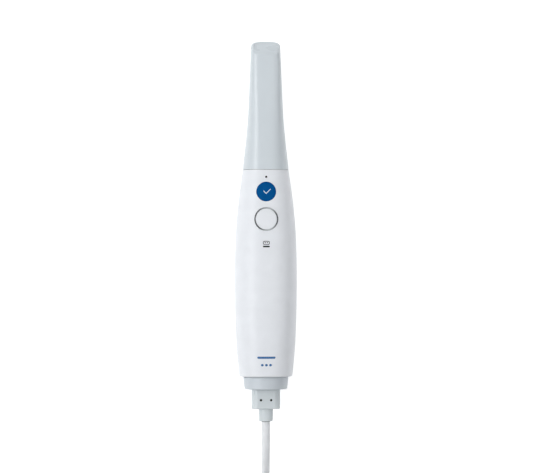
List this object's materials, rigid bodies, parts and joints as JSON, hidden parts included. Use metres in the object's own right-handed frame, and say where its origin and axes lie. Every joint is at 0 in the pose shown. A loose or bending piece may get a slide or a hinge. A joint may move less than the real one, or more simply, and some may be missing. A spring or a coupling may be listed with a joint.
{
  "type": "intraoral scanner handpiece",
  "caption": "Wired intraoral scanner handpiece with a pull-off mirror tip, two push buttons, and a plug-in cable put away in a tied hank.",
  "frame": {"origin": "under the middle of the handpiece, from the rear cap to the tip's end, on the surface that it lies on", "axes": "+Z out of the button side, +Y towards the tip, +X to the right seen from the button side"},
  "size_m": [0.0536, 0.4682, 0.0474],
  "materials": {
    "tip_plastic": "fine satin, steam-proof",
    "shell_white": "satin gloss",
    "rear_grey": "satin",
    "block_grey": "satin",
    "button_white": "satin",
    "button_blue": "smooth",
    "mark_pale": "smooth",
    "chrome_trim": "bright",
    "dark_plastic": "smooth",
    "black_plastic": "fine grain",
    "seal_rubber": "matt",
    "mirror_face": "silvered",
    "window_glass": "coated",
    "lens_glass": "coated",
    "alloy": "anodised",
    "steel": "plain",
    "board_green": "solder mask",
    "copper_heater": "etched film",
    "boot_rubber": "matt",
    "cable_jacket": "matt",
    "tie_fabric": "hook and loop"
  },
  "bodies": {
    "handle": {"front_shell": "shell_white", "back_shell": "shell_white", "seam_gasket": "seal_rubber", "scan_button_ring": "chrome_trim", "status_light_pipe": "dark_plastic", "switch_bodies": "black_plastic", "button_board": "board_green", "optical_nose": "alloy", "nose_seal_ring": "seal_rubber", "window_heater": "copper_heater", "nose_window": "window_glass", "optical_bench": "alloy", "projector_barrel": "black_plastic", "left_camera_barrel": "black_plastic", "right_camera_barrel": "black_plastic", "projector_lens": "lens_glass", "camera_lenses": "lens_glass", "sensor_boards": "board_green", "projector_engine": "alloy", "heat_sink": "alloy", "chassis": "alloy", "main_board": "board_green", "board_standoffs": "steel", "shield_can": "steel", "board_chips": "dark_plastic", "rear_cap": "rear_grey", "rear_cap_screws": "steel", "fan_frame": "black_plastic", "cable_socket": "black_plastic", "socket_contacts": "steel"},
    "tip": {"tip_shell": "tip_plastic", "tip_end_cover": "tip_plastic", "tip_mirror": "mirror_face"},
    "scan_button": {"scan_button_cap": "button_white", "scan_switch_plunger": "black_plastic"},
    "confirm_button": {"confirm_button_cap": "button_blue", "confirm_button_mark": "mark_pale", "confirm_switch_plunger": "black_plastic"},
    "fan": {"fan_rotor": "black_plastic"},
    "cable": {"plug_housing": "block_grey", "plug_screws": "dark_plastic", "plug_tongue": "steel", "cable_boot": "boot_rubber", "cable_lead": "cable_jacket", "cable_hank": "cable_jacket", "cable_tail": "cable_jacket", "cable_tie": "tie_fabric", "hub_plug_grip": "block_grey", "hub_plug_shell": "steel"}
  },
  "joints": [
    {"name": "tip_slide", "type": "slide", "parent": "handle", "child": "tip", "axis": [0, 1, 0], "range_m": [0, 0.04]},
    {"name": "scan_button_press", "type": "slide", "parent": "handle", "child": "scan_button", "axis": [0, -0.0958, -0.9954], "range_m": [0, 0.00055], "stiffness_N_per_m": 3000},
    {"name": "confirm_button_press", "type": "slide", "parent": "handle", "child": "confirm_button", "axis": [0, -0.0958, -0.9954], "range_m": [0, 0.00055], "stiffness_N_per_m": 3000},
    {"name": "fan_spin", "type": "hinge", "parent": "handle", "child": "fan", "pos_m": [0, -0.107, 0.0247], "axis": [0, 1, 0], "continuous": true},
    {"name": "cable_unplug", "type": "slide", "parent": "handle", "child": "cable", "axis": [0, -1, 0], "range_m": [0, 0.014]}
  ]
}
